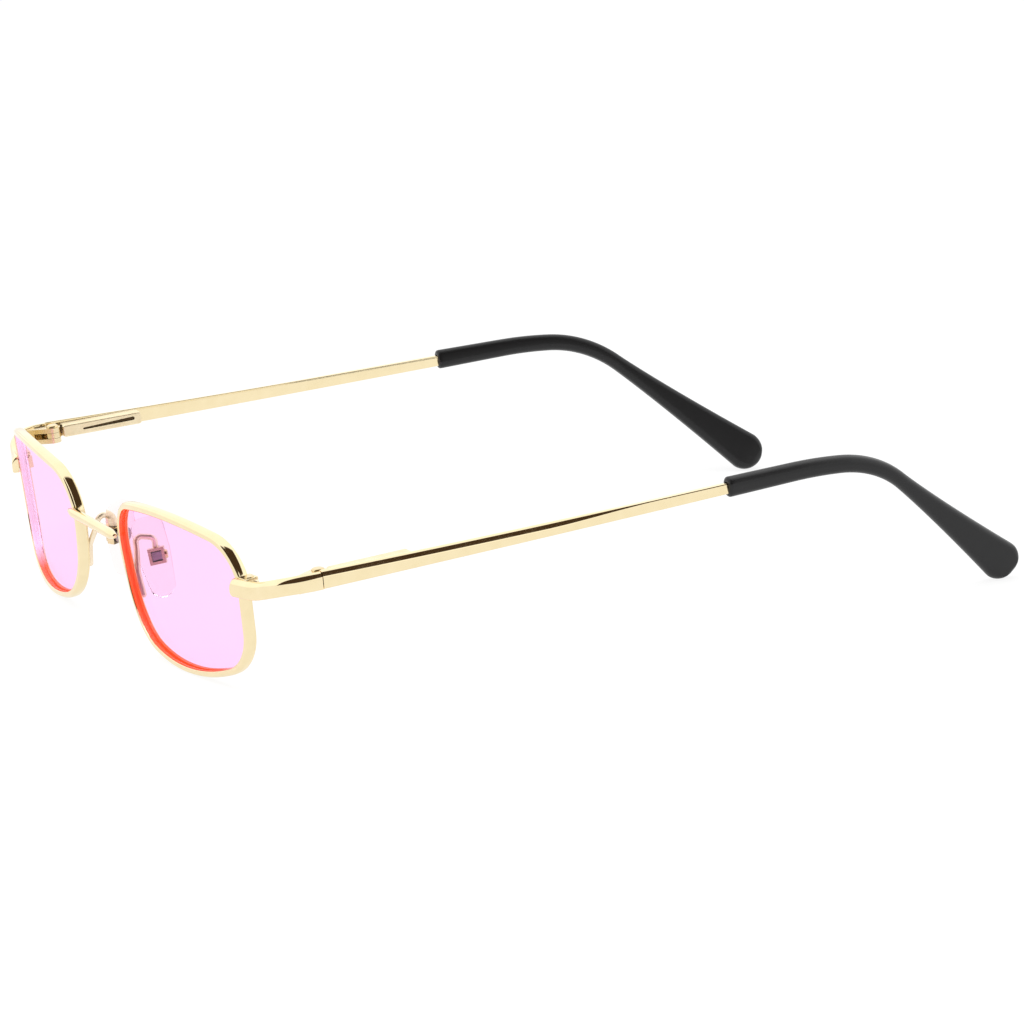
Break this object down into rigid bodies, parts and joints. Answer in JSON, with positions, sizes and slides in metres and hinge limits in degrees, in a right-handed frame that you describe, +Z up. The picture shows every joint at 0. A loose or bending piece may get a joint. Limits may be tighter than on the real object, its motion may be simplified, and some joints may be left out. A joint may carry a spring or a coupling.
{
  "type": "rectangle sunglasses",
  "caption": "Narrow rectangle metal-rim sunglasses with tinted lenses, spring hinges, rocking nose pads and bent temples with soft tips.",
  "frame": {"origin": "middle of the bounding box on the plane the rims and temple tips stand on, temples open", "axes": "+X to the wearer's left, +Y backward along the temples, +Z up"},
  "size_m": [0.1348, 0.1524, 0.0287],
  "materials": {
    "gold_metal": "polished pale gold plating",
    "gold_screw": "polished pale gold plating",
    "spring_steel": "bright drawn wire",
    "tinted_lens": "polished pink tint",
    "clear_silicone": "clear, satin",
    "black_acetate": "satin black"
  },
  "bodies": {
    "front": {"bridge": "gold_metal", "left_rim": "gold_metal", "left_lens": "tinted_lens", "left_closing_block_upper": "gold_metal", "left_closing_block_lower": "gold_metal", "left_closing_screw": "gold_screw", "left_end_piece": "gold_metal", "left_hinge_knuckle": "gold_metal", "left_hinge_screw": "gold_screw", "left_pad_arm": "gold_metal", "left_pad_box": "gold_metal", "left_pad_screw": "gold_screw", "right_rim": "gold_metal", "right_lens": "tinted_lens", "right_closing_block_upper": "gold_metal", "right_closing_block_lower": "gold_metal", "right_closing_screw": "gold_screw", "right_end_piece": "gold_metal", "right_hinge_knuckle": "gold_metal", "right_hinge_screw": "gold_screw", "right_pad_arm": "gold_metal", "right_pad_box": "gold_metal", "right_pad_screw": "gold_screw"},
    "left_slider": {"left_hinge_slider": "gold_metal", "left_slider_nut": "gold_screw"},
    "left_temple": {"left_temple_bar": "gold_metal", "left_spring_housing": "gold_metal", "left_temple_tip": "black_acetate", "left_hinge_spring": "spring_steel"},
    "left_pad": {"left_nose_pad": "clear_silicone", "left_pad_insert": "gold_metal"},
    "right_slider": {"right_hinge_slider": "gold_metal", "right_slider_nut": "gold_screw"},
    "right_temple": {"right_temple_bar": "gold_metal", "right_spring_housing": "gold_metal", "right_temple_tip": "black_acetate", "right_hinge_spring": "spring_steel"},
    "right_pad": {"right_nose_pad": "clear_silicone", "right_pad_insert": "gold_metal"}
  },
  "joints": [
    {"name": "left_fold", "type": "hinge", "parent": "front", "child": "left_slider", "pos_m": [0.06405, -0.05924, 0.02105], "axis": [0, -0.0641, 0.9979], "range_deg": [0, 86.4]},
    {"name": "left_spring_travel", "type": "slide", "parent": "left_slider", "child": "left_temple", "axis": [-0.0628, 0.996, 0.064], "range_m": [0, 0.0012], "stiffness_N_per_m": 800, "springref_m": -0.002, "deforming": ["left_hinge_spring"]},
    {"name": "left_pad_rock", "type": "hinge", "parent": "front", "child": "left_pad", "pos_m": [0.0102, -0.06741, 0.01487], "axis": [0.3866, 0.9045, 0.18], "range_deg": [-10, 10]},
    {"name": "right_fold", "type": "hinge", "parent": "front", "child": "right_slider", "pos_m": [-0.06405, -0.05924, 0.02105], "axis": [0, 0.0641, -0.9979], "range_deg": [0, 80]},
    {"name": "right_spring_travel", "type": "slide", "parent": "right_slider", "child": "right_temple", "axis": [0.0628, 0.996, 0.064], "range_m": [0, 0.0012], "stiffness_N_per_m": 800, "springref_m": -0.002, "deforming": ["right_hinge_spring"]},
    {"name": "right_pad_rock", "type": "hinge", "parent": "front", "child": "right_pad", "pos_m": [-0.0102, -0.06741, 0.01487], "axis": [-0.3866, 0.9045, 0.18], "range_deg": [-10, 10]}
  ]
}
